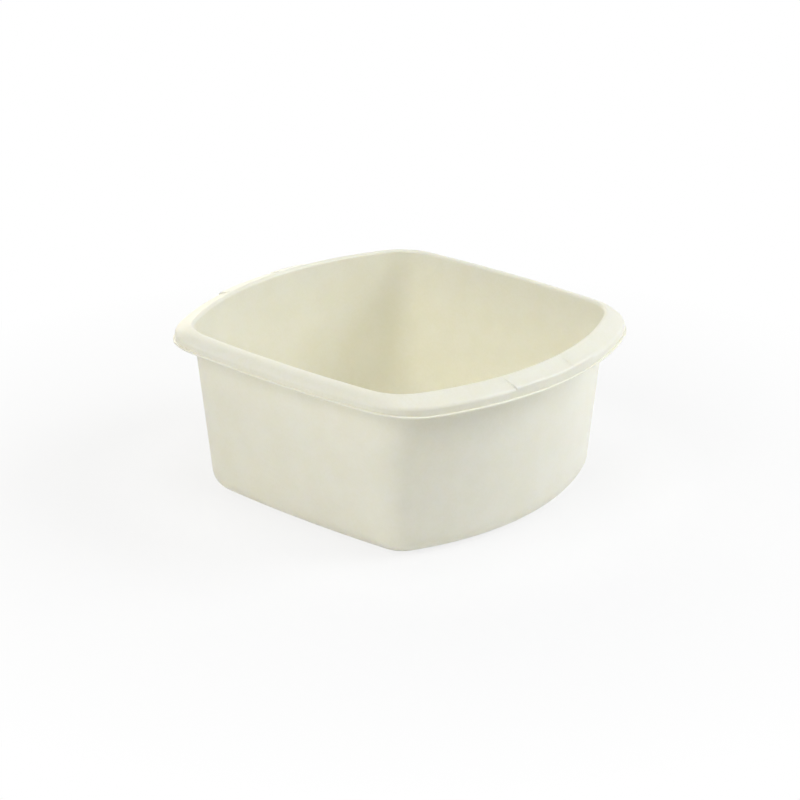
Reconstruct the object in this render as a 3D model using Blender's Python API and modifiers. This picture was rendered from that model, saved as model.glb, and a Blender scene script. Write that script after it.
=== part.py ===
"""Washing up bowl, one injection moulding in polypropylene.

The plan is nearly square, with two strongly bowed ends and two nearly straight sides. The walls are
drafted. The rim slopes outwards from the mouth, flat on the ends and crowned on the sides, and turns
down into a skirt that ends in a small lip. Each bowed end carries a raised grip with a shallow plate.

Metres, +Z up. X runs along the length, through the middles of the bowed ends, and Y runs across.
The origin lies under the middle of the bowl, on the surface that it stands on.
"""

from math import asin, atan2, cos, hypot, pi, radians, sin, sqrt, tan

import bmesh
import bpy

# Sizes over everything, measured at the rim's lip
LENGTH = 0.380
WIDTH = 0.3447
HEIGHT = 0.1631

# The moulding's wall, and how far the walls lean out from upright
WALL = 0.0018
DRAFT = radians(5.65)

# Plan of the mouth: the bows of the ends and sides, and the round corners between them
END_BOW_RADIUS = 0.277
SIDE_BOW_RADIUS = 1.287
MOUTH_CORNER_RADIUS = 0.0409
LIP_CORNER_RADIUS = 0.0625

# Base: the rounding into the walls, and the foot ring round a panel that is lifted off the table
BASE_CORNER_RADIUS = 0.0305
BASE_EDGE_RADIUS = 0.0193
FOOT_WIDTH = 0.010
FOOT_CORNER_RADIUS = 0.012
PANEL_RISE = 0.0015
PANEL_STEP_RUN = 0.0020
PANEL_CORNER_RADIUS = 0.010

# Rim: its reach from the mouth to the lip and the drop to its foot
RIM_END_REACH = 0.0220
RIM_SIDE_REACH = 0.0166
RIM_END_DROP = 0.0168
RIM_SIDE_DROP = 0.0150
MOUTH_EDGE_RADIUS = 0.0030

# Slope of the rim's top where it leaves the mouth's edge and where it meets the shoulder, and the
# shoulder's rounding: nearly flat tops on the ends, a crowned one on the sides
END_EDGE_SLOPE = radians(23.4)
END_SHOULDER_SLOPE = radians(24.4)
END_SHOULDER_RADIUS = 0.0039
GRIP_EDGE_SLOPE = radians(17.4)
GRIP_SHOULDER_SLOPE = radians(18.4)
GRIP_SHOULDER_RADIUS = 0.0029
SIDE_EDGE_SLOPE = radians(6)
SIDE_SHOULDER_SLOPE = radians(55)
SIDE_SHOULDER_RADIUS = 0.0060

# How far the lip stands out from the skirt
LIP_REACH = 0.0018

# Grips on the bowed ends, with a shallow plate in the middle of each
GRIP_WIDTH = 0.108
GRIP_STEP_WIDTH = 0.0008
PLATE_WIDTH = 0.040
PLATE_DEPTH = 0.0006

# How finely the round stretches are divided
END_DIVISIONS = 3
CORNER_DIVISIONS = 6
SIDE_DIVISIONS = 3
BASE_EDGE_DIVISIONS = 5
WALL_DIVISIONS = 3
MOUTH_EDGE_DIVISIONS = 3
CREST_DIVISIONS = 2
TOP_DIVISIONS = 4
SHOULDER_DIVISIONS = 4

# Colour of the ivory plastic, in sRGB
IVORY = "#E6E3CF"
ROUGHNESS = 0.42
POLYPROPYLENE_IOR = 1.49

MERGE_DISTANCE = 0.00001

MOUTH_HALF_LENGTH = LENGTH / 2 - RIM_END_REACH
MOUTH_HALF_WIDTH = WIDTH / 2 - RIM_SIDE_REACH


def remove_start_objects():
    for obj in list(bpy.data.objects):
        bpy.data.objects.remove(obj)


def linear_colour(code):
    """Linear red, green, blue and alpha of an sRGB hex code."""
    shares = [int(code[i:i + 2], 16) / 255 for i in (1, 3, 5)]
    return [s / 12.92 if s <= 0.04045 else ((s + 0.055) / 1.055) ** 2.4 for s in shares] + [1]


def ivory_polypropylene():
    material = bpy.data.materials.new("ivory_polypropylene")
    material.use_nodes = True
    shader = material.node_tree.nodes["Principled BSDF"]
    shader.inputs["Base Color"].default_value = linear_colour(IVORY)
    shader.inputs["Metallic"].default_value = 0
    shader.inputs["Roughness"].default_value = ROUGHNESS
    shader.inputs["IOR"].default_value = POLYPROPYLENE_IOR
    material.diffuse_color = linear_colour(IVORY)
    return material


def smooth_share(share):
    return share * share * (3 - 2 * share)


def outline(end_out, side_out, corner_radius):
    """Arcs of a plan outline that lies end_out and side_out outside the mouth.

    Returns the end arc's centre x and radius, the side arc's centre y and radius, the corner
    arc's centre, and the two directions in which the corner arc starts and ends.
    """
    end_radius = END_BOW_RADIUS + end_out
    side_radius = SIDE_BOW_RADIUS + side_out
    end_x = MOUTH_HALF_LENGTH - END_BOW_RADIUS
    side_y = MOUTH_HALF_WIDTH - SIDE_BOW_RADIUS
    # The corner arc touches both bows, so its centre lies where two circles about theirs cross
    from_end = end_radius - corner_radius
    from_side = side_radius - corner_radius
    apart = hypot(end_x, side_y)
    along = (from_end ** 2 - from_side ** 2 + apart ** 2) / (2 * apart)
    across = sqrt(from_end ** 2 - along ** 2)
    corner_x = end_x - along * end_x / apart - across * side_y / apart
    corner_y = along * side_y / apart - across * end_x / apart
    start = atan2(corner_y, corner_x - end_x)
    stop = atan2(corner_y - side_y, corner_x)
    return end_x, end_radius, side_y, side_radius, corner_x, corner_y, start, stop


def columns():
    """Places round a quarter of the plan, from the middle of an end to the middle of a side."""
    half_step = GRIP_STEP_WIDTH / 2
    plate, grip = PLATE_WIDTH / 2, GRIP_WIDTH / 2
    found = [("level", 0, "plate"), ("level", plate - half_step, "plate")]
    found += [("level", plate + half_step, "grip"), ("level", (plate + grip) / 2, "grip")]
    found += [("level", grip - half_step, "grip"), ("level", grip + half_step, "end")]
    found += [("end", i / END_DIVISIONS, "end") for i in range(1, END_DIVISIONS)]
    found += [("corner", i / CORNER_DIVISIONS, "corner") for i in range(CORNER_DIVISIONS)]
    found += [("side", i / SIDE_DIVISIONS, "side") for i in range(SIDE_DIVISIONS + 1)]
    return found


def section_point(station, region):
    """Offset from the mouth and height of a station of the section, in one region of the plan."""
    return station.get(region, station["side"] if region == "side" else station["end"])


def place(station, column):
    """Point of the visible skin at a station of the section and a column of the plan."""
    kind, value, region = column
    end, side = station["end"], station["side"]
    arcs = outline(end[0], side[0], station["corner_radius"])
    end_x, end_radius, side_y, side_radius, corner_x, corner_y, start, stop = arcs
    out, z = section_point(station, region)
    if kind == "level":
        return end_x + sqrt((END_BOW_RADIUS + out) ** 2 - value ** 2), value, z
    if kind == "end":
        grip_turn = asin((GRIP_WIDTH + GRIP_STEP_WIDTH) / 2 / end_radius)
        turn = grip_turn + (start - grip_turn) * value
        return end_x + end_radius * cos(turn), end_radius * sin(turn), z
    if kind == "corner":
        turn = start + (stop - start) * value
        z = end[1] + (side[1] - end[1]) * smooth_share(value)
        radius = station["corner_radius"]
        return corner_x + radius * cos(turn), corner_y + radius * sin(turn), z
    turn = stop + (pi / 2 - stop) * value
    return side_radius * cos(turn), side_y + side_radius * sin(turn), z


def level_station(out, z, corner_radius):
    return {"end": (out, z), "side": (out, z), "corner_radius": corner_radius}


def wall_corner_radius(z):
    return MOUTH_CORNER_RADIUS + (BASE_CORNER_RADIUS - MOUTH_CORNER_RADIUS) * (HEIGHT - z) / HEIGHT


def wall_stations():
    """The base's panel and foot ring, the rounding above them, and the drafted wall up to the mouth."""
    wall_z = WALL + BASE_EDGE_RADIUS * (1 - sin(DRAFT))
    wall_out = -(HEIGHT - wall_z) * tan(DRAFT)
    centre_out = wall_out - BASE_EDGE_RADIUS * cos(DRAFT)
    foot_out = centre_out - FOOT_WIDTH
    found = [level_station(foot_out - PANEL_STEP_RUN, WALL + PANEL_RISE, PANEL_CORNER_RADIUS)]
    found.append(level_station(foot_out, WALL, FOOT_CORNER_RADIUS))
    wall_radius = wall_corner_radius(wall_z)
    for i in range(BASE_EDGE_DIVISIONS + 1):
        turn = (pi / 2 - DRAFT) * i / BASE_EDGE_DIVISIONS
        out = centre_out + BASE_EDGE_RADIUS * sin(turn)
        z = WALL + BASE_EDGE_RADIUS * (1 - cos(turn))
        found.append(level_station(out, z, wall_radius + out - wall_out))
    top_z = HEIGHT - MOUTH_EDGE_RADIUS * (1 - sin(DRAFT))
    for i in range(1, WALL_DIVISIONS):
        z = wall_z + (top_z - wall_z) * i / WALL_DIVISIONS
        found.append(level_station(-(HEIGHT - z) * tan(DRAFT), z, wall_corner_radius(z)))
    edge_out = -(HEIGHT - top_z) * tan(DRAFT) + MOUTH_EDGE_RADIUS * cos(DRAFT)
    for i in range(MOUTH_EDGE_DIVISIONS + 1):
        turn = DRAFT + (pi / 2 - DRAFT) * i / MOUTH_EDGE_DIVISIONS
        out = edge_out - MOUTH_EDGE_RADIUS * cos(turn)
        z = HEIGHT - MOUTH_EDGE_RADIUS * (1 - sin(turn))
        found.append(level_station(out, z, wall_corner_radius(HEIGHT) + out))
    return found, edge_out


def arc(centre_out, centre_z, radius, start, stop, divisions):
    """Points along an arc of the section, with its turns measured from outwards towards up."""
    turns = [start + (stop - start) * i / divisions for i in range(divisions + 1)]
    return [(centre_out + radius * cos(turn), centre_z + radius * sin(turn)) for turn in turns]


def rim_section(edge_out, skirt_out, foot_z, edge_slope, shoulder_slope, shoulder_radius):
    """Past the mouth's edge, over the crowned top, round the shoulder and down the skirt to the lip."""
    edge_z = HEIGHT - MOUTH_EDGE_RADIUS
    crest = arc(edge_out, edge_z, MOUTH_EDGE_RADIUS, pi / 2, pi / 2 - edge_slope, CREST_DIVISIONS)
    crest_out, crest_z = crest[-1]
    # The top's arc touches the mouth's edge and the shoulder
    shoulder_out = skirt_out - shoulder_radius
    top_span = shoulder_out + shoulder_radius * sin(shoulder_slope) - crest_out
    top_radius = top_span / (sin(shoulder_slope) - sin(edge_slope))
    top_out = crest_out - top_radius * sin(edge_slope)
    top_z = crest_z - top_radius * cos(edge_slope)
    top = arc(top_out, top_z, top_radius, pi / 2 - edge_slope, pi / 2 - shoulder_slope, TOP_DIVISIONS)
    shoulder_z = top[-1][1] - shoulder_radius * cos(shoulder_slope)
    shoulder = arc(shoulder_out, shoulder_z, shoulder_radius, pi / 2 - shoulder_slope, 0, SHOULDER_DIVISIONS)
    return crest[1:] + top[1:] + shoulder[1:] + [(skirt_out, foot_z)]


def sunk_section(points):
    """The rim's section with the plate, which fades in down the top and out round the shoulder."""
    top_start = CREST_DIVISIONS - 1
    shoulder_stop = top_start + TOP_DIVISIONS + SHOULDER_DIVISIONS
    found = [points[0]]
    for i in range(1, len(points) - 1):
        along_out = points[i + 1][0] - points[i - 1][0]
        along_z = points[i + 1][1] - points[i - 1][1]
        fade_in = 2 * (i - top_start) / TOP_DIVISIONS
        fade_out = (shoulder_stop - i) / SHOULDER_DIVISIONS
        depth = PLATE_DEPTH * smooth_share(max(0, min(1, fade_in, fade_out))) / hypot(along_out, along_z)
        found.append((points[i][0] + depth * along_z, points[i][1] - depth * along_out))
    return found + [points[-1]]


def rim_stations(edge_out):
    """The rim from the mouth's edge over the shoulder and down the skirt, and the lip at its foot."""
    # The lip is as thick as the wall
    end_skirt, end_foot = RIM_END_REACH - LIP_REACH, HEIGHT - RIM_END_DROP + WALL
    side_skirt, side_foot = RIM_SIDE_REACH - LIP_REACH, HEIGHT - RIM_SIDE_DROP + WALL
    end_top = END_EDGE_SLOPE, END_SHOULDER_SLOPE, END_SHOULDER_RADIUS
    grip_top = GRIP_EDGE_SLOPE, GRIP_SHOULDER_SLOPE, GRIP_SHOULDER_RADIUS
    side_top = SIDE_EDGE_SLOPE, SIDE_SHOULDER_SLOPE, SIDE_SHOULDER_RADIUS
    end = rim_section(edge_out, end_skirt, end_foot, *end_top)
    grip = rim_section(edge_out, end_skirt, end_foot, *grip_top)
    side = rim_section(edge_out, side_skirt, side_foot, *side_top)
    end.append((RIM_END_REACH, end[-1][1]))
    side.append((RIM_SIDE_REACH, side[-1][1]))
    found = []
    for i in range(len(end)):
        swell = (LIP_CORNER_RADIUS - MOUTH_CORNER_RADIUS) * end[i][0] / RIM_END_REACH
        found.append({"end": end[i], "side": side[i], "corner_radius": MOUTH_CORNER_RADIUS + swell})
    for station, raised, sunk in zip(found, grip, sunk_section(grip)):
        station["grip"], station["plate"] = raised, sunk
    return found


def bowl_quarter():
    """Visible skin of a quarter of the bowl, lofted through its stations, with the base's panel."""
    walls, edge_out = wall_stations()
    stations = walls + rim_stations(edge_out)
    mesh = bmesh.new()
    rings = [[mesh.verts.new(place(station, column)) for column in columns()] for station in stations]
    for lower, upper in zip(rings, rings[1:]):
        for i in range(len(lower) - 1):
            mesh.faces.new((lower[i], upper[i], upper[i + 1], lower[i + 1]))
    middle = mesh.verts.new((0, 0, WALL + PANEL_RISE))
    mesh.faces.new([middle] + rings[0])
    bmesh.ops.recalc_face_normals(mesh, faces=mesh.faces)
    if mesh.faces[-1].normal.z < 0:
        bmesh.ops.reverse_faces(mesh, faces=mesh.faces)
    return mesh


def bowl(collection, material):
    """The whole moulding: a quarter mirrored twice and given its wall on the hidden side."""
    quarter = bowl_quarter()
    data = bpy.data.meshes.new("bowl")
    quarter.to_mesh(data)
    quarter.free()
    data.materials.append(material)
    data.shade_smooth()
    data.set_sharp_from_angle(angle=radians(40))
    obj = bpy.data.objects.new("bowl", data)
    collection.objects.link(obj)
    mirror = obj.modifiers.new("four quarters", "MIRROR")
    mirror.use_axis = (True, True, False)
    mirror.merge_threshold = MERGE_DISTANCE
    wall = obj.modifiers.new("wall", "SOLIDIFY")
    wall.thickness = WALL
    wall.offset = -1
    wall.use_even_offset = True
    wall.use_quality_normals = True
    return obj


def main():
    remove_start_objects()
    collection = bpy.data.collections.new("washing_up_bowl")
    bpy.context.scene.collection.children.link(collection)
    bowl(collection, ivory_polypropylene())


main()
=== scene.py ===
"""Looks of the washing up bowl: one injection moulding in satin ivory polypropylene.

The bowl is drawn ring by ring, as one closed skin. A small disc in the middle of the inside floor grows
out over the lifted panel and the foot ring, up the inside of the walls, over the turned-down rim and round
the lip, and comes back under the rim and down the outside to the gate in the middle of the underside.

Metres, +Z up. X runs along the length, through the grips in the middle of the bowed ends, and Y runs
across. The origin lies under the middle of the bowl, on the surface that it stands on.
"""

from math import asin, atan2, cos, hypot, pi, radians, sin, sqrt, tan, tau

import bmesh
import bpy
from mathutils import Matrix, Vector


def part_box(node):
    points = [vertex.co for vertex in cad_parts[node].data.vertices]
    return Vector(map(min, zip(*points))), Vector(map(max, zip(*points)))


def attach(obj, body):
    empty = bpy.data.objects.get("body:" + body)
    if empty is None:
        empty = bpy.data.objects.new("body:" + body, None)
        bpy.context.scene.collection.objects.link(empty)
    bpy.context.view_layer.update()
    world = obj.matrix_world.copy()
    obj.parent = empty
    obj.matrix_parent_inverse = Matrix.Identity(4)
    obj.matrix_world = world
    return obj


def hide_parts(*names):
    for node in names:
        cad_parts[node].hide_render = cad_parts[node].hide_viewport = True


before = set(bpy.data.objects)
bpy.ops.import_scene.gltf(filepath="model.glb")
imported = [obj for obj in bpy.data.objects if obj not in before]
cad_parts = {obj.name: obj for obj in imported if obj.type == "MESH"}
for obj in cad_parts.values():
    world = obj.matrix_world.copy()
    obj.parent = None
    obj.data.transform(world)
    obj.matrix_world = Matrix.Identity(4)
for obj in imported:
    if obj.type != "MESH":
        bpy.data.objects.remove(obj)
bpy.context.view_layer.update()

# Sizes over everything, read from the solid bowl
LOW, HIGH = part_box("bowl")
LENGTH = HIGH.x - LOW.x
WIDTH = HIGH.y - LOW.y
HEIGHT = HIGH.z - LOW.z

# The moulding's wall, and how far the walls lean out from upright
WALL = 0.0018
DRAFT = radians(5.65)

# Plan: the bows of the mouth's ends and sides, and the round corners between them, at mouth and lip
END_BOW_RADIUS = 0.277
SIDE_BOW_RADIUS = 1.287
MOUTH_CORNER_RADIUS = 0.0409
LIP_CORNER_RADIUS = 0.0625

# Base: the rounding into the walls, and the foot ring round a panel that is lifted off the table
BASE_CORNER_RADIUS = 0.0305
BASE_EDGE_RADIUS = 0.0193
FOOT_WIDTH = 0.010
FOOT_CORNER_RADIUS = 0.012
PANEL_RISE = 0.0015
PANEL_STEP_RUN = 0.0020
PANEL_CORNER_RADIUS = 0.010

# Gate in the middle of the underside, where the plastic was let in: a dimple with a trimmed stub
GATE_RADIUS = 0.0060
GATE_SLOPE_WIDTH = 0.0006
GATE_DEPTH = 0.0005
STUB_RADIUS = 0.0016
STUB_SLOPE_WIDTH = 0.0003
STUB_HEIGHT = 0.0007

# Flat margins inside the panel's edge and round the gate, which keep their soft shading off the panel
PANEL_MARGIN = 0.0010
GATE_MARGIN = 0.0006

# Rim: its reach from the mouth to the lip, the drop to its foot, and the rounding of the mouth's edge
RIM_END_REACH = 0.0220
RIM_SIDE_REACH = 0.0166
RIM_END_DROP = 0.0168
RIM_SIDE_DROP = 0.0150
MOUTH_EDGE_RADIUS = 0.0030

# Slope of the rim's top where it leaves the mouth's edge and where it meets the shoulder, and the
# shoulder's rounding: the tops hardly curve on the ends and are crowned on the sides
END_TOP = radians(23.4), radians(24.4), 0.0039
GRIP_TOP = radians(17.4), radians(18.4), 0.0029
SIDE_TOP = radians(6), radians(55), 0.0060

# Lip at the skirt's foot, as thick as the wall: how far it stands out, and its rounded nose and foot
LIP_REACH = 0.0018
LIP_NOSE_RADIUS = 0.0009
FOOT_EDGE_RADIUS = 0.0005

# Grips on the bowed ends, with a shallow plate in the middle of each
GRIP_WIDTH = 0.108
GRIP_STEP_WIDTH = 0.0004
PLATE_WIDTH = 0.040
PLATE_STEP_WIDTH = 0.0008
PLATE_DEPTH = 0.0006

# Turn between two faces from which their edge looks sharp
SHARP_TURN = radians(40)

# How finely the round stretches are divided
PLATE_DIVISIONS = 3
STEP_DIVISIONS = 4
GRIP_DIVISIONS = 4
END_DIVISIONS = 8
CORNER_DIVISIONS = 18
SIDE_DIVISIONS = 12
PANEL_STEP_DIVISIONS = 6
FOOT_DIVISIONS = 3
BASE_EDGE_DIVISIONS = 12
WALL_DIVISIONS = 16
MOUTH_EDGE_DIVISIONS = 8
CREST_DIVISIONS = 4
TOP_DIVISIONS = 8
SHOULDER_DIVISIONS = 8
SKIRT_DIVISIONS = 4
LIP_DIVISIONS = 4

MOUTH_HALF_LENGTH = LENGTH / 2 - RIM_END_REACH
MOUTH_HALF_WIDTH = WIDTH / 2 - RIM_SIDE_REACH

# Ivory polypropylene: its pale and its deep tone, its refractive index, the share of light that sinks in,
# how deep, and how far red, green and blue go beside each other
IVORY = "#F8F5E7"
IVORY_DEEP = "#F5F2E1"
IVORY_INDEX = 1.49
SCATTER_SHARE = 0.35
SCATTER_DEPTH = 0.003
SCATTER_REACH = 1.0, 0.85, 0.55

# Streaks and clouds in its tone, and painted shade in the pits of the grain, the weight of the streaks and of
# the grain's painted shade beside the clouds, and the range of the three taken together, over which the
# plastic goes from deep to pale
STREAK_WIDTH = 0.012
STREAK_LENGTH = 0.140
STREAK_FAN_RADIUS = 0.160
STREAK_SHARE = 0.2
CLOUD_WIDTH = 0.030
GRAIN_WIDTH = 0.0026
# Weight of the painted shade in the grain's pits
GRAIN_SHADE_SHARE = 1.0
TONE_RANGE = 0.90, 1.30

# Patches in its satin, the range of their pattern from the shiniest to the dullest, how rough it is at
# both, and how rough and how high up the foot ring is rubbed
PATCH_WIDTH = 0.018
PATCH_RANGE = 0.3, 0.7
SATIN = 0.40, 0.50
RUBBED_ROUGHNESS = 0.62
RUB_HEIGHT = 0.0004

# Unevenness of the thin wall, and how deep the grain is cut
WAVE_WIDTH = 0.050
WAVE_DEPTH = 0.0001
GRAIN_DEPTH = 0.00005

# The camera stands where the photo was taken from, and it and the lamps face one point in the bowl
CAMERA_AZIMUTH = radians(41.609)
CAMERA_ELEVATION = radians(21.899)
CAMERA_DISTANCE = 2.6423
CAMERA_LENS = 127.47
AIM = Vector((-0.0005, -0.0004, 0.0806))

# White room, and its paper floor just under the bowl, which keeps a share of its shading near the bowl
WHITE = "#FFFFFF"
PAPER = "#F7F7F7"
PAPER_ROUGHNESS = 0.9
FLOOR_SIZE = 16
FLOOR_GAP = 0.0001
SHADOW_RADII = 0.30, 0.60
SHADOW_SHARE = 0.22

# Softboxes round the bowl: azimuth and elevation in degrees, watts, and colour
LAMP_DISTANCE = 3.0
LAMP_SIZE = 1.6
LAMPS = {
    "right_softbox": (132, 35, 46.5, "#F8FBFF"),
    "low_right_softbox": (142, 8, 15.5, "#F2F5FF"),
    "overhead_softbox": (15, 85, 27.5, "#FBFEFF"),
    "front_softbox": (12, 35, 20, "#FFFDFA"),
    "left_softbox": (-18, 35, 13.5, "#FFFEFA"),
    "low_left_softbox": (-18, 8, 10, "#F8FAFF"),
    "low_back_softbox": (-118, 8, 18, "#FFF4D9"),
    "back_softbox": (-118, 35, 8, "#FFFFF2"),
}


def smooth_share(share):
    return share * share * (3 - 2 * share)


def crowded_shares(divisions):
    """Shares from just above 0 up to 1 that lie closer together towards both ends."""
    return [(1 - cos(pi * i / divisions)) / 2 for i in range(1, divisions + 1)]


def outline(end_out, side_out, corner_radius):
    """Arcs of a plan outline that lies end_out and side_out outside the mouth.

    Returns the end arc's centre x and radius, the side arc's centre y and radius, the corner
    arc's centre, and the two directions in which the corner arc starts and ends.
    """
    end_radius = END_BOW_RADIUS + end_out
    side_radius = SIDE_BOW_RADIUS + side_out
    end_x = MOUTH_HALF_LENGTH - END_BOW_RADIUS
    side_y = MOUTH_HALF_WIDTH - SIDE_BOW_RADIUS
    # The corner arc touches both bows, so its centre lies where two circles about theirs cross
    from_end = end_radius - corner_radius
    from_side = side_radius - corner_radius
    apart = hypot(end_x, side_y)
    along = (from_end ** 2 - from_side ** 2 + apart ** 2) / (2 * apart)
    across = sqrt(from_end ** 2 - along ** 2)
    corner_x = end_x - along * end_x / apart - across * side_y / apart
    corner_y = along * side_y / apart - across * end_x / apart
    start = atan2(corner_y, corner_x - end_x)
    stop = atan2(corner_y - side_y, corner_x)
    return end_x, end_radius, side_y, side_radius, corner_x, corner_y, start, stop


def quarter_columns():
    """Places round a quarter of the plan, from the middle of an end to the middle of a side.

    Each is its kind, its distance from the middle or its share of the arc, and how far it belongs to
    the grip and to the plate.
    """
    plate, grip = PLATE_WIDTH / 2, GRIP_WIDTH / 2
    plate_start, plate_stop = plate - PLATE_STEP_WIDTH / 2, plate + PLATE_STEP_WIDTH / 2
    grip_start = grip - GRIP_STEP_WIDTH / 2
    found = [("level", plate_start * i / PLATE_DIVISIONS, 1, 1) for i in range(PLATE_DIVISIONS)]
    for i in range(STEP_DIVISIONS + 1):
        share = i / STEP_DIVISIONS
        found.append(("level", plate_start + PLATE_STEP_WIDTH * share, 1, 1 - smooth_share(share)))
    for i in range(1, GRIP_DIVISIONS):
        found.append(("level", plate_stop + (grip_start - plate_stop) * i / GRIP_DIVISIONS, 1, 0))
    for i in range(STEP_DIVISIONS + 1):
        share = i / STEP_DIVISIONS
        found.append(("level", grip_start + GRIP_STEP_WIDTH * share, 1 - smooth_share(share), 0))
    found += [("end", i / END_DIVISIONS, 0, 0) for i in range(1, END_DIVISIONS)]
    found += [("corner", i / CORNER_DIVISIONS, 0, 0) for i in range(CORNER_DIVISIONS)]
    found += [("side", i / SIDE_DIVISIONS, 0, 0) for i in range(SIDE_DIVISIONS + 1)]
    return found


def ring_columns():
    """All the places round the bowl, each with the signs that mirror it into its quarter."""
    quarter = quarter_columns()
    out, back = quarter[:-1], quarter[:0:-1]
    found = [(1, 1, column) for column in out] + [(-1, 1, column) for column in back]
    found += [(-1, -1, column) for column in out] + [(1, -1, column) for column in back]
    return found


def mixed(first, second, share):
    return [a + (b - a) * share for a, b in zip(first, second)]


def place(station, column):
    """Point of the skin in the first quarter, at a station of the section and a column of the plan."""
    kind, value, grip_share, plate_share = column
    end, side = station["end"], station["side"]
    arcs = outline(end[0], side[0], station["corner_radius"])
    end_x, end_radius, side_y, side_radius, corner_x, corner_y, start, stop = arcs
    if kind == "level":
        top = mixed(station["grip"], station["plate"], plate_share)
        out, z = mixed(end, top, grip_share)
        return end_x + sqrt((END_BOW_RADIUS + out) ** 2 - value ** 2), value, z
    if kind == "end":
        grip_turn = asin((GRIP_WIDTH + GRIP_STEP_WIDTH) / 2 / end_radius)
        turn = grip_turn + (start - grip_turn) * value
        return end_x + end_radius * cos(turn), end_radius * sin(turn), end[1]
    if kind == "corner":
        turn = start + (stop - start) * value
        z = end[1] + (side[1] - end[1]) * smooth_share(value)
        radius = station["corner_radius"]
        return corner_x + radius * cos(turn), corner_y + radius * sin(turn), z
    turn = stop + (pi / 2 - stop) * value
    return side_radius * cos(turn), side_y + side_radius * sin(turn), side[1]


def ring_points(station):
    found = []
    for x_sign, y_sign, column in ring_columns():
        x, y, z = place(station, column)
        found.append((x_sign * x, y_sign * y, z))
    return found


def wall_corner_radius(z):
    return MOUTH_CORNER_RADIUS + (BASE_CORNER_RADIUS - MOUTH_CORNER_RADIUS) * (HEIGHT - z) / HEIGHT


def wall_section():
    """Inside face from the panel over the foot ring and the base's rounding up to the mouth's edge.

    Each point is its distance outside the mouth, its height and the radius of its plan corner.
    """
    wall_z = WALL + BASE_EDGE_RADIUS * (1 - sin(DRAFT))
    wall_out = -(HEIGHT - wall_z) * tan(DRAFT)
    centre_out = wall_out - BASE_EDGE_RADIUS * cos(DRAFT)
    foot_out = centre_out - FOOT_WIDTH
    panel_out = foot_out - PANEL_STEP_RUN
    found = [
        (panel_out - PANEL_MARGIN, WALL + PANEL_RISE, PANEL_CORNER_RADIUS - PANEL_MARGIN),
        (panel_out, WALL + PANEL_RISE, PANEL_CORNER_RADIUS),
    ]
    for i in range(1, PANEL_STEP_DIVISIONS + 1):
        share = i / PANEL_STEP_DIVISIONS
        radius = PANEL_CORNER_RADIUS + (FOOT_CORNER_RADIUS - PANEL_CORNER_RADIUS) * share
        z = WALL + PANEL_RISE * (1 - smooth_share(share))
        found.append((panel_out + PANEL_STEP_RUN * share, z, radius))
    wall_radius = wall_corner_radius(wall_z)
    edge_radius = wall_radius + centre_out - wall_out
    for i in range(1, FOOT_DIVISIONS):
        share = i / FOOT_DIVISIONS
        radius = FOOT_CORNER_RADIUS + (edge_radius - FOOT_CORNER_RADIUS) * share
        found.append((foot_out + FOOT_WIDTH * share, WALL, radius))
    for i in range(BASE_EDGE_DIVISIONS + 1):
        turn = (pi / 2 - DRAFT) * i / BASE_EDGE_DIVISIONS
        out = centre_out + BASE_EDGE_RADIUS * sin(turn)
        found.append((out, WALL + BASE_EDGE_RADIUS * (1 - cos(turn)), wall_radius + out - wall_out))
    top_z = HEIGHT - MOUTH_EDGE_RADIUS * (1 - sin(DRAFT))
    for share in crowded_shares(WALL_DIVISIONS)[:-1]:
        z = wall_z + (top_z - wall_z) * share
        found.append((-(HEIGHT - z) * tan(DRAFT), z, wall_corner_radius(z)))
    edge_out = mouth_edge_out()
    for i in range(MOUTH_EDGE_DIVISIONS + 1):
        turn = DRAFT + (pi / 2 - DRAFT) * i / MOUTH_EDGE_DIVISIONS
        out = edge_out - MOUTH_EDGE_RADIUS * cos(turn)
        found.append((out, HEIGHT - MOUTH_EDGE_RADIUS * (1 - sin(turn)), wall_corner_radius(HEIGHT) + out))
    return found


def mouth_edge_out():
    """How far outside the mouth its rounded edge reaches the top."""
    return MOUTH_EDGE_RADIUS * (cos(DRAFT) - (1 - sin(DRAFT)) * tan(DRAFT))


def rim_section(reach, drop, edge_slope, shoulder_slope, shoulder_radius):
    """Outside of the rim: past the mouth's edge, over its top, round the shoulder and down the skirt."""
    skirt_out, foot_z = reach - LIP_REACH, HEIGHT - drop + WALL
    edge_out, edge_z = mouth_edge_out(), HEIGHT - MOUTH_EDGE_RADIUS
    crest = arc(edge_out, edge_z, MOUTH_EDGE_RADIUS, pi / 2, pi / 2 - edge_slope, CREST_DIVISIONS)
    crest_out, crest_z = crest[-1]
    # The top's arc touches the mouth's edge and the shoulder
    shoulder_out = skirt_out - shoulder_radius
    top_span = shoulder_out + shoulder_radius * sin(shoulder_slope) - crest_out
    top_radius = top_span / (sin(shoulder_slope) - sin(edge_slope))
    top_out, top_z = crest_out - top_radius * sin(edge_slope), crest_z - top_radius * cos(edge_slope)
    top = arc(top_out, top_z, top_radius, pi / 2 - edge_slope, pi / 2 - shoulder_slope, TOP_DIVISIONS)
    shoulder_z = top[-1][1] - shoulder_radius * cos(shoulder_slope)
    shoulder = arc(shoulder_out, shoulder_z, shoulder_radius, pi / 2 - shoulder_slope, 0, SHOULDER_DIVISIONS)
    shares = [i / SKIRT_DIVISIONS for i in range(1, SKIRT_DIVISIONS + 1)]
    skirt = [mixed(shoulder[-1], (skirt_out, foot_z), share) for share in shares]
    return crest[1:] + top[1:] + shoulder[1:] + skirt


def sunk_section(points):
    """The rim's section with the plate, which fades in down half the top and out round the shoulder."""
    top_start = CREST_DIVISIONS - 1
    shoulder_stop = top_start + TOP_DIVISIONS + SHOULDER_DIVISIONS
    found = []
    for i, (point, below) in enumerate(zip(points, offset_section(points, PLATE_DEPTH))):
        fade_in = 2 * (i - top_start) / TOP_DIVISIONS
        fade_out = (shoulder_stop - i) / SHOULDER_DIVISIONS
        found.append(mixed(point, below, smooth_share(max(0, min(1, fade_in, fade_out)))))
    return found


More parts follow.
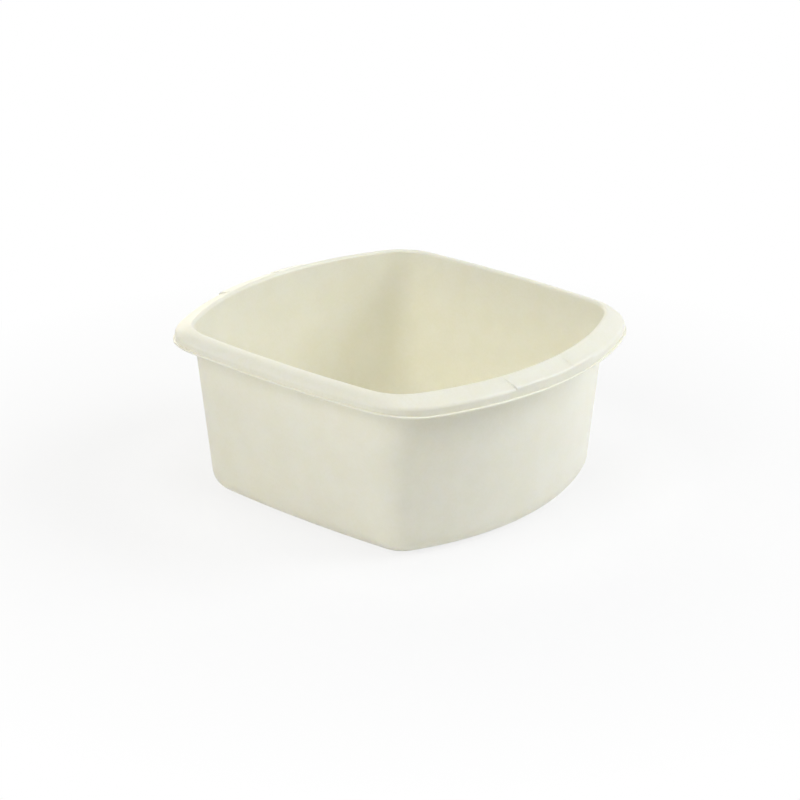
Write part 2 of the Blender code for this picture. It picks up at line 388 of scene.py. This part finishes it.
def arc(centre_out, centre_z, radius, start, stop, divisions):
    """Points along an arc of the section, with its turns measured from outwards towards up."""
    turns = [start + (stop - start) * i / divisions for i in range(divisions + 1)]
    return [(centre_out + radius * cos(turn), centre_z + radius * sin(turn)) for turn in turns]


def lip_section(reach, drop):
    """The lip at the skirt's foot: its rounded nose and its flat underside."""
    foot = HEIGHT - drop
    inner = reach - LIP_REACH - WALL
    nose_z = foot + WALL - LIP_NOSE_RADIUS
    found = arc(reach - LIP_NOSE_RADIUS, nose_z, LIP_NOSE_RADIUS, pi / 2, 0, LIP_DIVISIONS)
    radius = FOOT_EDGE_RADIUS
    found += arc(reach - radius, foot + radius, radius, 0, -pi / 2, LIP_DIVISIONS)
    found += arc(inner + radius, foot + radius, radius, -pi / 2, -pi, LIP_DIVISIONS)
    return found


def offset_section(points, distance):
    """The same section on the hidden side of the wall, square to the visible side."""
    found = []
    for i, (out, z) in enumerate(points):
        before, after = points[max(i - 1, 0)], points[min(i + 1, len(points) - 1)]
        along_out, along_z = after[0] - before[0], after[1] - before[1]
        length = hypot(along_out, along_z)
        found.append((out + distance * along_z / length, z - distance * along_out / length))
    return found


def whole_section(walls, rim, lip):
    """The closed section of one region: inside face, rim, lip, and back along the hidden side."""
    visible = [point[:2] for point in walls] + rim
    return visible + lip + offset_section(visible, WALL)[::-1]


def corner_radii(walls, visible, section):
    """Radius of the plan corner at each point of the closed section, which grows with the offset."""
    radii = [point[2] for point in walls]
    for out, _ in visible[len(walls):]:
        radii.append(MOUTH_CORNER_RADIUS + (LIP_CORNER_RADIUS - MOUTH_CORNER_RADIUS) * out / RIM_END_REACH)
    hidden = section[-len(visible):][::-1]
    back = [radius + there[0] - here[0] for radius, here, there in zip(radii, visible, hidden)]
    lip = section[len(visible):-len(visible)]
    around = [LIP_CORNER_RADIUS + point[0] - RIM_END_REACH for point in lip]
    return radii + around + back[::-1]


def stations():
    """Every ring of the bowl's skin, from the panel's margin inside to the panel's margin underneath."""
    walls = wall_section()
    end_sizes = RIM_END_REACH, RIM_END_DROP
    side_sizes = RIM_SIDE_REACH, RIM_SIDE_DROP
    grip = rim_section(*end_sizes, *GRIP_TOP)
    rims = {
        "end": rim_section(*end_sizes, *END_TOP),
        "grip": grip,
        "plate": sunk_section(grip),
        "side": rim_section(*side_sizes, *SIDE_TOP),
    }
    sections = {}
    for region, rim in rims.items():
        sizes = side_sizes if region == "side" else end_sizes
        sections[region] = whole_section(walls, rim, lip_section(*sizes))
    visible = [point[:2] for point in walls] + rims["end"]
    radii = corner_radii(walls, visible, sections["end"])
    found = []
    for i, radius in enumerate(radii):
        station = {region: section[i] for region, section in sections.items()}
        station["corner_radius"] = radius
        found.append(station)
    return found


def lay_ring(obj, points):
    """Puts the selected ring on the given points: each vertex keeps its column when it is extruded."""
    mesh = bmesh.from_edit_mesh(obj.data)
    column = mesh.verts.layers.int["column"]
    for vert in mesh.verts:
        if vert.select:
            vert.co = points[vert[column]]
    bmesh.update_edit_mesh(obj.data)


def disc_points(radius, z, count):
    turns = [tau * i / count for i in range(count)]
    return [(radius * cos(turn), radius * sin(turn), z) for turn in turns]


def model_bowl():
    count = len(ring_columns())
    bpy.ops.mesh.primitive_circle_add(vertices=count, radius=GATE_RADIUS, fill_type="NGON")
    obj = bpy.context.object
    obj.name = obj.data.name = "washing_up_bowl"
    bpy.ops.object.mode_set(mode="EDIT")
    bpy.ops.mesh.select_mode(type="EDGE")
    bpy.ops.mesh.select_all(action="SELECT")
    mesh = bmesh.from_edit_mesh(obj.data)
    column = mesh.verts.layers.int.new("column")
    for i, vert in enumerate(mesh.verts):
        vert[column] = i
    bmesh.update_edit_mesh(obj.data)
    lay_ring(obj, disc_points(GATE_RADIUS, WALL + PANEL_RISE, count))
    for station in stations():
        bpy.ops.mesh.extrude_edges_move()
        lay_ring(obj, ring_points(station))
    for radius in (GATE_RADIUS + GATE_MARGIN, GATE_RADIUS):
        bpy.ops.mesh.extrude_edges_move()
        lay_ring(obj, disc_points(radius, PANEL_RISE, count))
    bpy.ops.mesh.edge_face_add()
    bpy.ops.mesh.select_mode(type="FACE")
    bpy.ops.mesh.inset(thickness=GATE_SLOPE_WIDTH, depth=-GATE_DEPTH)
    bpy.ops.mesh.inset(thickness=GATE_RADIUS - GATE_SLOPE_WIDTH - STUB_RADIUS)
    bpy.ops.mesh.inset(thickness=STUB_SLOPE_WIDTH, depth=STUB_HEIGHT)
    bpy.ops.mesh.select_all(action="SELECT")
    bpy.ops.mesh.normals_make_consistent(inside=False)
    bpy.ops.object.mode_set(mode="OBJECT")
    bpy.ops.object.shade_smooth_by_angle(angle=SHARP_TURN)
    return obj


def linear_colour(code):
    """Linear red, green, blue and alpha of an sRGB hex code."""
    shares = [int(code[i:i + 2], 16) / 255 for i in (1, 3, 5)]
    return [s / 12.92 if s <= 0.04045 else ((s + 0.055) / 1.055) ** 2.4 for s in shares] + [1]


def add_node(tree, kind, values=None, links=None, **settings):
    """Adds a node with its settings, the values of its sockets and the outputs that feed them."""
    node = tree.nodes.new(kind)
    for name, setting in settings.items():
        setattr(node, name, setting)
    for socket, value in (values or {}).items():
        node.inputs[socket].default_value = value
    for socket, source in (links or {}).items():
        tree.links.new(source, node.inputs[socket])
    return node


def ivory_polypropylene():
    """Injection-moulded polypropylene in pale ivory.

    The plastic is a little waxy, so light sinks in and comes out softened. The tool was spark-eroded to a
    satin, which spreads each highlight wide, and the melt left faint streaks as it ran out from the gate.
    """
    material = bpy.data.materials.new("ivory_polypropylene_moulded")
    material.use_nodes = True
    tree = material.node_tree
    shader = tree.nodes["Principled BSDF"]
    shader.inputs["Metallic"].default_value = 0
    shader.inputs["IOR"].default_value = IVORY_INDEX
    shader.inputs["Subsurface Weight"].default_value = SCATTER_SHARE
    shader.inputs["Subsurface Radius"].default_value = SCATTER_REACH
    shader.inputs["Subsurface Scale"].default_value = SCATTER_DEPTH

    spot = add_node(tree, "ShaderNodeTexCoord").outputs["Object"]
    height = add_node(tree, "ShaderNodeSeparateXYZ", links={0: spot}).outputs["Z"]

    # Streaks keep their direction from the gate and are drawn out along the way that the melt ran
    level = add_node(
        tree, "ShaderNodeVectorMath", {1: (1, 1, 0)}, {0: spot}, operation="MULTIPLY"
    ).outputs[0]
    heading = add_node(tree, "ShaderNodeVectorMath", links={0: level}, operation="NORMALIZE").outputs[0]
    fanned = add_node(
        tree, "ShaderNodeVectorMath", {"Scale": STREAK_FAN_RADIUS}, {0: heading}, operation="SCALE"
    ).outputs[0]
    reach = add_node(tree, "ShaderNodeVectorMath", links={0: level}, operation="LENGTH").outputs["Value"]
    run = add_node(tree, "ShaderNodeMath", links={0: reach, 1: height}, operation="ADD").outputs[0]
    slowed = add_node(
        tree, "ShaderNodeMath", {1: STREAK_WIDTH / STREAK_LENGTH}, {0: run}, operation="MULTIPLY"
    ).outputs[0]
    along = add_node(tree, "ShaderNodeCombineXYZ", links={"Z": slowed}).outputs[0]
    flow = add_node(tree, "ShaderNodeVectorMath", links={0: fanned, 1: along}, operation="ADD").outputs[0]
    streaks = add_node(
        tree, "ShaderNodeTexNoise", {"Scale": 1 / STREAK_WIDTH, "Detail": 3, "Roughness": 0.5},
        {"Vector": flow},
    ).outputs["Fac"]
    clouds = add_node(
        tree, "ShaderNodeTexNoise", {"Scale": 1 / CLOUD_WIDTH, "Detail": 2, "Roughness": 0.5},
        {"Vector": spot},
    ).outputs["Fac"]
    streaked = add_node(
        tree, "ShaderNodeMath", {1: STREAK_SHARE}, {0: streaks, 2: clouds}, operation="MULTIPLY_ADD"
    ).outputs[0]
    # An eroded tool usually leaves a grain of about 0.15 mm. Its pits are given painted shade, drawn as a
    # touch of deeper tone. It is drawn coarser, because it wouldn't show at its real size
    grain_and_pit_shade = add_node(
        tree, "ShaderNodeTexNoise", {"Scale": 1 / GRAIN_WIDTH, "Detail": 3, "Roughness": 0.65},
        {"Vector": spot},
    ).outputs["Fac"]
    # The grain's painted pit shade joins the streaks and clouds in the tone
    mottle_and_pit_shade = add_node(
        tree, "ShaderNodeMath", {1: GRAIN_SHADE_SHARE}, {0: grain_and_pit_shade, 2: streaked}, operation="MULTIPLY_ADD"
    ).outputs[0]
    tone = add_node(
        tree, "ShaderNodeMapRange", {"From Min": TONE_RANGE[0], "From Max": TONE_RANGE[1]}, {"Value": mottle_and_pit_shade}
    ).outputs[0]
    # Sockets 6 and 7 of a colour mix are its two colours
    colour = add_node(
        tree, "ShaderNodeMix", {6: linear_colour(IVORY_DEEP), 7: linear_colour(IVORY)}, {0: tone},
        data_type="RGBA",
    ).outputs[2]
    tree.links.new(colour, shader.inputs["Base Color"])

    # The finish is a touch duller in patches, and dullest where the foot ring rubs on the table
    patches = add_node(
        tree, "ShaderNodeTexNoise", {"Scale": 1 / PATCH_WIDTH, "Detail": 4, "Roughness": 0.6},
        {"Vector": spot},
    ).outputs["Fac"]
    satin = add_node(
        tree, "ShaderNodeMapRange",
        {"From Min": PATCH_RANGE[0], "From Max": PATCH_RANGE[1], "To Min": SATIN[0], "To Max": SATIN[1]},
        {"Value": patches},
    ).outputs[0]
    rubbed = add_node(
        tree, "ShaderNodeMapRange",
        {"From Min": 0, "From Max": RUB_HEIGHT, "To Min": RUBBED_ROUGHNESS - SATIN[1], "To Max": 0},
        {"Value": height},
    ).outputs[0]
    dulled = add_node(tree, "ShaderNodeMath", links={0: satin, 1: rubbed}, operation="ADD").outputs[0]
    tree.links.new(dulled, shader.inputs["Roughness"])

    # The thin wall isn't quite even, and the grain is cut into it, though soft light hardly shows its depth
    waves = add_node(
        tree, "ShaderNodeTexNoise", {"Scale": 1 / WAVE_WIDTH, "Detail": 1}, {"Vector": spot}
    ).outputs["Fac"]
    wavy = add_node(tree, "ShaderNodeBump", {"Distance": WAVE_DEPTH}, {"Height": waves}).outputs[0]
    grained = add_node(
        tree, "ShaderNodeBump", {"Distance": GRAIN_DEPTH}, {"Height": grain_and_pit_shade, "Normal": wavy}
    ).outputs[0]
    tree.links.new(grained, shader.inputs["Normal"])
    return material


def face_bowl(obj, azimuth, elevation, distance):
    """Stands a lamp or the camera off the bowl and turns it there, with azimuth 0 in front of a side."""
    flat = cos(elevation)
    away = Vector((sin(azimuth) * flat, -cos(azimuth) * flat, sin(elevation))) * distance
    obj.location = AIM + away
    obj.rotation_euler = (-away).to_track_quat("-Z", "Y").to_euler()
    bpy.context.scene.collection.objects.link(obj)


def soft_lamp(name, azimuth, elevation, watts, colour):
    lamp = bpy.data.lights.new(name, "AREA")
    lamp.size = LAMP_SIZE
    lamp.energy = watts
    lamp.color = linear_colour(colour)[:3]
    obj = bpy.data.objects.new(name, lamp)
    face_bowl(obj, radians(azimuth), radians(elevation), LAMP_DISTANCE)


def seen_directly(tree):
    """1 for what is seen, also mirrored or through something clear, and 0 for diffuse light."""
    rays = add_node(tree, "ShaderNodeLightPath").outputs
    mirrored = add_node(
        tree, "ShaderNodeMath", links={0: rays["Is Camera Ray"], 1: rays["Is Glossy Ray"]},
        operation="MAXIMUM",
    ).outputs[0]
    return add_node(
        tree, "ShaderNodeMath", links={0: mirrored, 1: rays["Is Transmission Ray"]}, operation="MAXIMUM"
    ).outputs[0]


def white_room():
    """White all round for the eye and in reflections, while all diffuse light is from the softboxes."""
    world = bpy.data.worlds.new("white_room")
    bpy.context.scene.world = world
    world.use_nodes = True
    tree = world.node_tree
    background = tree.nodes["Background"]
    background.inputs["Color"].default_value = linear_colour(WHITE)
    tree.links.new(seen_directly(tree), background.inputs["Strength"])


def white_paper():
    """Matt white paper, lifted to white for the eye, so that only a soft shadow stays by the bowl."""
    material = bpy.data.materials.new("white_paper")
    material.use_nodes = True
    tree = material.node_tree
    paper = tree.nodes["Principled BSDF"]
    paper.inputs["Base Color"].default_value = linear_colour(PAPER)
    paper.inputs["Roughness"].default_value = PAPER_ROUGHNESS
    white = add_node(tree, "ShaderNodeEmission", {"Color": linear_colour(WHITE), "Strength": 1})
    spot = add_node(tree, "ShaderNodeTexCoord").outputs["Object"]
    away = add_node(tree, "ShaderNodeVectorMath", links={0: spot}, operation="LENGTH").outputs["Value"]
    lift = add_node(
        tree, "ShaderNodeMapRange",
        {"From Min": SHADOW_RADII[0], "From Max": SHADOW_RADII[1], "To Min": 1 - SHADOW_SHARE, "To Max": 1},
        {"Value": away},
    ).outputs[0]
    share = add_node(tree, "ShaderNodeMath", links={0: lift, 1: seen_directly(tree)}, operation="MULTIPLY")
    mix = add_node(
        tree, "ShaderNodeMixShader", links={0: share.outputs[0], 1: paper.outputs[0], 2: white.outputs[0]}
    )
    tree.links.new(mix.outputs[0], tree.nodes["Material Output"].inputs["Surface"])
    return material


def floor():
    bpy.ops.mesh.primitive_plane_add(size=FLOOR_SIZE, location=(0, 0, -FLOOR_GAP))
    obj = bpy.context.object
    obj.name = "floor"
    obj.data.materials.append(white_paper())


def camera():
    data = bpy.data.cameras.new("camera")
    data.lens = CAMERA_LENS
    obj = bpy.data.objects.new("camera", data)
    face_bowl(obj, CAMERA_AZIMUTH, CAMERA_ELEVATION, CAMERA_DISTANCE)
    bpy.context.scene.camera = obj


bpy.ops.object.select_all(action="DESELECT")
bowl = model_bowl()
bowl.data.materials.append(ivory_polypropylene())
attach(bowl, "root")
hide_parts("bowl")
floor()
white_room()
camera()
for name, settings in LAMPS.items():
    soft_lamp(name, *settings)
bpy.context.scene.view_settings.view_transform = "Standard"
